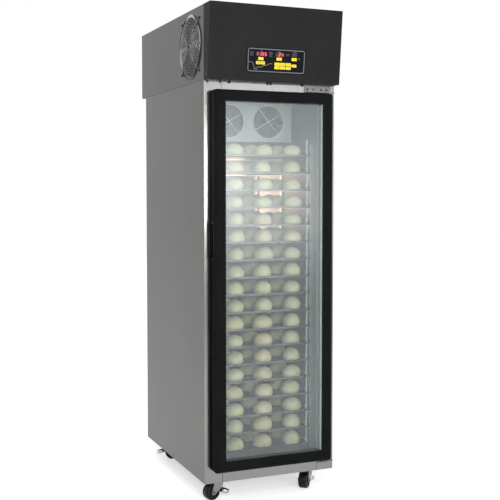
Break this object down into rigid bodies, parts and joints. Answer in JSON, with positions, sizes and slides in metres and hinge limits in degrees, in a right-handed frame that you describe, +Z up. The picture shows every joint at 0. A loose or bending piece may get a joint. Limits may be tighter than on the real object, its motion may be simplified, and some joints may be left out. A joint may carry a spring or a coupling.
{
  "type": "retarder proofer",
  "caption": "Upright insulated proofing cabinet on swivel casters with a hinged glass door, a rack of trays with dough, and a machine compartment with keys on top.",
  "frame": {"origin": "on the floor, under the middle of the whole object's box", "axes": "+Z up, +Y from the door towards the back, +X to the right as the door is faced"},
  "size_m": [0.632, 1.002, 2.139],
  "materials": {
    "stainless": "vertically brushed",
    "liner_steel": "brushed",
    "foam": "matte",
    "pale_trim": "matte",
    "rack_steel": "satin",
    "tray_aluminium": "satin",
    "dough": "soft matte",
    "pale_paint": "satin",
    "coil_aluminium": "satin",
    "motor_black": "satin",
    "fan_plastic": "matte",
    "guard_wire": "bright plated",
    "anthracite": "satin",
    "display_black": "gloss",
    "digit_red": "lit",
    "board_green": "satin",
    "key_yellow": "satin",
    "door_black": "satin",
    "pane": "clear",
    "seal": "matte",
    "handle_black": "matte",
    "zinc": "zinc plated",
    "screw_dark": "satin",
    "gland_plastic": "matte",
    "drain_plastic": "matte",
    "wheel_black": "satin"
  },
  "bodies": {
    "cabinet": {"side_panels": "stainless", "rear_panel": "stainless", "base_panel": "stainless", "front_frame": "stainless", "foam_insulation": "foam", "inner_liner": "liner_steel", "jamb_trim": "pale_trim", "tray_rack": "rack_steel", "bakery_trays": "tray_aluminium", "dough_balls": "dough", "evaporator_cover": "pale_paint", "evaporator_fan_guards": "guard_wire", "evaporator_coil": "coil_aluminium", "fan_motors": "motor_black", "fan_side_panel": "stainless", "top_housing": "stainless", "condenser_fan_guard": "guard_wire", "condenser_coil": "coil_aluminium", "compressor": "motor_black", "control_fascia": "anthracite", "display_panel": "display_black", "digit_displays": "digit_red", "control_board": "board_green", "hinge_brackets": "stainless", "dark_screws": "screw_dark", "cable_gland": "gland_plastic", "drain_spigot": "drain_plastic", "caster_plates": "zinc"},
    "door": {"door_frame": "door_black", "door_glass": "pane", "glazing_beads": "door_black", "door_gasket": "seal", "door_handle": "handle_black"},
    "key_01": {"key_01": "key_yellow"},
    "key_02": {"key_02": "key_yellow"},
    "key_03": {"key_03": "key_yellow"},
    "key_04": {"key_04": "key_yellow"},
    "key_05": {"key_05": "key_yellow"},
    "key_06": {"key_06": "key_yellow"},
    "key_07": {"key_07": "key_yellow"},
    "key_08": {"key_08": "key_yellow"},
    "key_09": {"key_09": "key_yellow"},
    "key_10": {"key_10": "key_yellow"},
    "key_11": {"key_11": "key_yellow"},
    "key_12": {"key_12": "key_yellow"},
    "evaporator_fan_left": {"evaporator_fan_left": "fan_plastic"},
    "evaporator_fan_right": {"evaporator_fan_right": "fan_plastic"},
    "condenser_fan": {"condenser_fan": "fan_plastic"},
    "caster_fork_front_left": {"caster_fork_front_left": "zinc"},
    "caster_wheel_front_left": {"caster_wheel_front_left": "wheel_black"},
    "caster_pedal_front_left": {"caster_pedal_front_left": "zinc"},
    "caster_fork_front_right": {"caster_fork_front_right": "zinc"},
    "caster_wheel_front_right": {"caster_wheel_front_right": "wheel_black"},
    "caster_pedal_front_right": {"caster_pedal_front_right": "zinc"},
    "caster_fork_rear_left": {"caster_fork_rear_left": "zinc"},
    "caster_wheel_rear_left": {"caster_wheel_rear_left": "wheel_black"},
    "caster_pedal_rear_left": {"caster_pedal_rear_left": "zinc"},
    "caster_fork_rear_right": {"caster_fork_rear_right": "zinc"},
    "caster_wheel_rear_right": {"caster_wheel_rear_right": "wheel_black"},
    "caster_pedal_rear_right": {"caster_pedal_rear_right": "zinc"}
  },
  "joints": [
    {"name": "door_hinge", "type": "hinge", "parent": "cabinet", "child": "door", "pos_m": [0.276, -0.455, 0.962], "axis": [0, 0, 1], "range_deg": [0, 110]},
    {"name": "key_01_press", "type": "slide", "parent": "cabinet", "child": "key_01", "axis": [0, 0.9953, 0.097], "range_m": [0, 0.0008], "stiffness_N_per_m": 400},
    {"name": "key_02_press", "type": "slide", "parent": "cabinet", "child": "key_02", "axis": [0, 0.9953, 0.097], "range_m": [0, 0.0008], "stiffness_N_per_m": 400},
    {"name": "key_03_press", "type": "slide", "parent": "cabinet", "child": "key_03", "axis": [0, 0.9953, 0.097], "range_m": [0, 0.0008], "stiffness_N_per_m": 400},
    {"name": "key_04_press", "type": "slide", "parent": "cabinet", "child": "key_04", "axis": [0, 0.9953, 0.097], "range_m": [0, 0.0008], "stiffness_N_per_m": 400},
    {"name": "key_05_press", "type": "slide", "parent": "cabinet", "child": "key_05", "axis": [0, 0.9953, 0.097], "range_m": [0, 0.0008], "stiffness_N_per_m": 400},
    {"name": "key_06_press", "type": "slide", "parent": "cabinet", "child": "key_06", "axis": [0, 0.9953, 0.097], "range_m": [0, 0.0008], "stiffness_N_per_m": 400},
    {"name": "key_07_press", "type": "slide", "parent": "cabinet", "child": "key_07", "axis": [0, 0.9953, 0.097], "range_m": [0, 0.0008], "stiffness_N_per_m": 400},
    {"name": "key_08_press", "type": "slide", "parent": "cabinet", "child": "key_08", "axis": [0, 0.9953, 0.097], "range_m": [0, 0.0008], "stiffness_N_per_m": 400},
    {"name": "key_09_press", "type": "slide", "parent": "cabinet", "child": "key_09", "axis": [0, 0.9953, 0.097], "range_m": [0, 0.0008], "stiffness_N_per_m": 400},
    {"name": "key_10_press", "type": "slide", "parent": "cabinet", "child": "key_10", "axis": [0, 0.9953, 0.097], "range_m": [0, 0.0008], "stiffness_N_per_m": 400},
    {"name": "key_11_press", "type": "slide", "parent": "cabinet", "child": "key_11", "axis": [0, 0.9953, 0.097], "range_m": [0, 0.0008], "stiffness_N_per_m": 400},
    {"name": "key_12_press", "type": "slide", "parent": "cabinet", "child": "key_12", "axis": [0, 0.9953, 0.097], "range_m": [0, 0.0008], "stiffness_N_per_m": 400},
    {"name": "evaporator_fan_left_spin", "type": "hinge", "parent": "cabinet", "child": "evaporator_fan_left", "pos_m": [-0.093, -0.151, 1.671], "axis": [0, 1, 0], "continuous": true},
    {"name": "evaporator_fan_right_spin", "type": "hinge", "parent": "cabinet", "child": "evaporator_fan_right", "pos_m": [0.105, -0.151, 1.671], "axis": [0, 1, 0], "continuous": true},
    {"name": "condenser_fan_spin", "type": "hinge", "parent": "cabinet", "child": "condenser_fan", "pos_m": [-0.279, -0.253, 1.98], "axis": [1, 0, 0], "continuous": true},
    {"name": "swivel_front_left", "type": "hinge", "parent": "cabinet", "child": "caster_fork_front_left", "pos_m": [-0.229, -0.361, 0.078], "axis": [0, 0, 1], "continuous": true},
    {"name": "wheel_front_left", "type": "hinge", "parent": "caster_fork_front_left", "child": "caster_wheel_front_left", "pos_m": [-0.25345, -0.3662, 0.036], "axis": [-0.2079, 0.9781, 0], "continuous": true},
    {"name": "pedal_front_left", "type": "hinge", "parent": "caster_fork_front_left", "child": "caster_pedal_front_left", "pos_m": [-0.21531, -0.35809, 0.062], "axis": [-0.2079, 0.9781, 0], "range_deg": [0, 10]},
    {"name": "swivel_front_right", "type": "hinge", "parent": "cabinet", "child": "caster_fork_front_right", "pos_m": [0.211, -0.361, 0.078], "axis": [0, 0, 1], "continuous": true},
    {"name": "wheel_front_right", "type": "hinge", "parent": "caster_fork_front_right", "child": "caster_wheel_front_right", "pos_m": [0.19363, -0.37898, 0.036], "axis": [-0.7193, 0.6947, 0], "continuous": true},
    {"name": "pedal_front_right", "type": "hinge", "parent": "caster_fork_front_right", "child": "caster_pedal_front_right", "pos_m": [0.22073, -0.35093, 0.062], "axis": [-0.7193, 0.6947, 0], "range_deg": [0, 10]},
    {"name": "swivel_rear_left", "type": "hinge", "parent": "cabinet", "child": "caster_fork_rear_left", "pos_m": [-0.229, 0.321, 0.078], "axis": [0, 0, 1], "continuous": true},
    {"name": "wheel_rear_left", "type": "hinge", "parent": "caster_fork_rear_left", "child": "caster_wheel_rear_left", "pos_m": [-0.21395, 0.30103, 0.036], "axis": [-0.7986, -0.6018, 0], "continuous": true},
    {"name": "pedal_rear_left", "type": "hinge", "parent": "caster_fork_rear_left", "child": "caster_pedal_rear_left", "pos_m": [-0.23743, 0.33218, 0.062], "axis": [-0.7986, -0.6018, 0], "range_deg": [0, 10]},
    {"name": "swivel_rear_right", "type": "hinge", "parent": "cabinet", "child": "caster_fork_rear_right", "pos_m": [0.211, 0.321, 0.078], "axis": [0, 0, 1], "continuous": true},
    {"name": "wheel_rear_right", "type": "hinge", "parent": "caster_fork_rear_right", "child": "caster_wheel_rear_right", "pos_m": [0.18751, 0.31245, 0.036], "axis": [-0.342, 0.9397, 0], "continuous": true},
    {"name": "pedal_rear_right", "type": "hinge", "parent": "caster_fork_rear_right", "child": "caster_pedal_rear_right", "pos_m": [0.22416, 0.32579, 0.062], "axis": [-0.342, 0.9397, 0], "range_deg": [0, 10]}
  ]
}
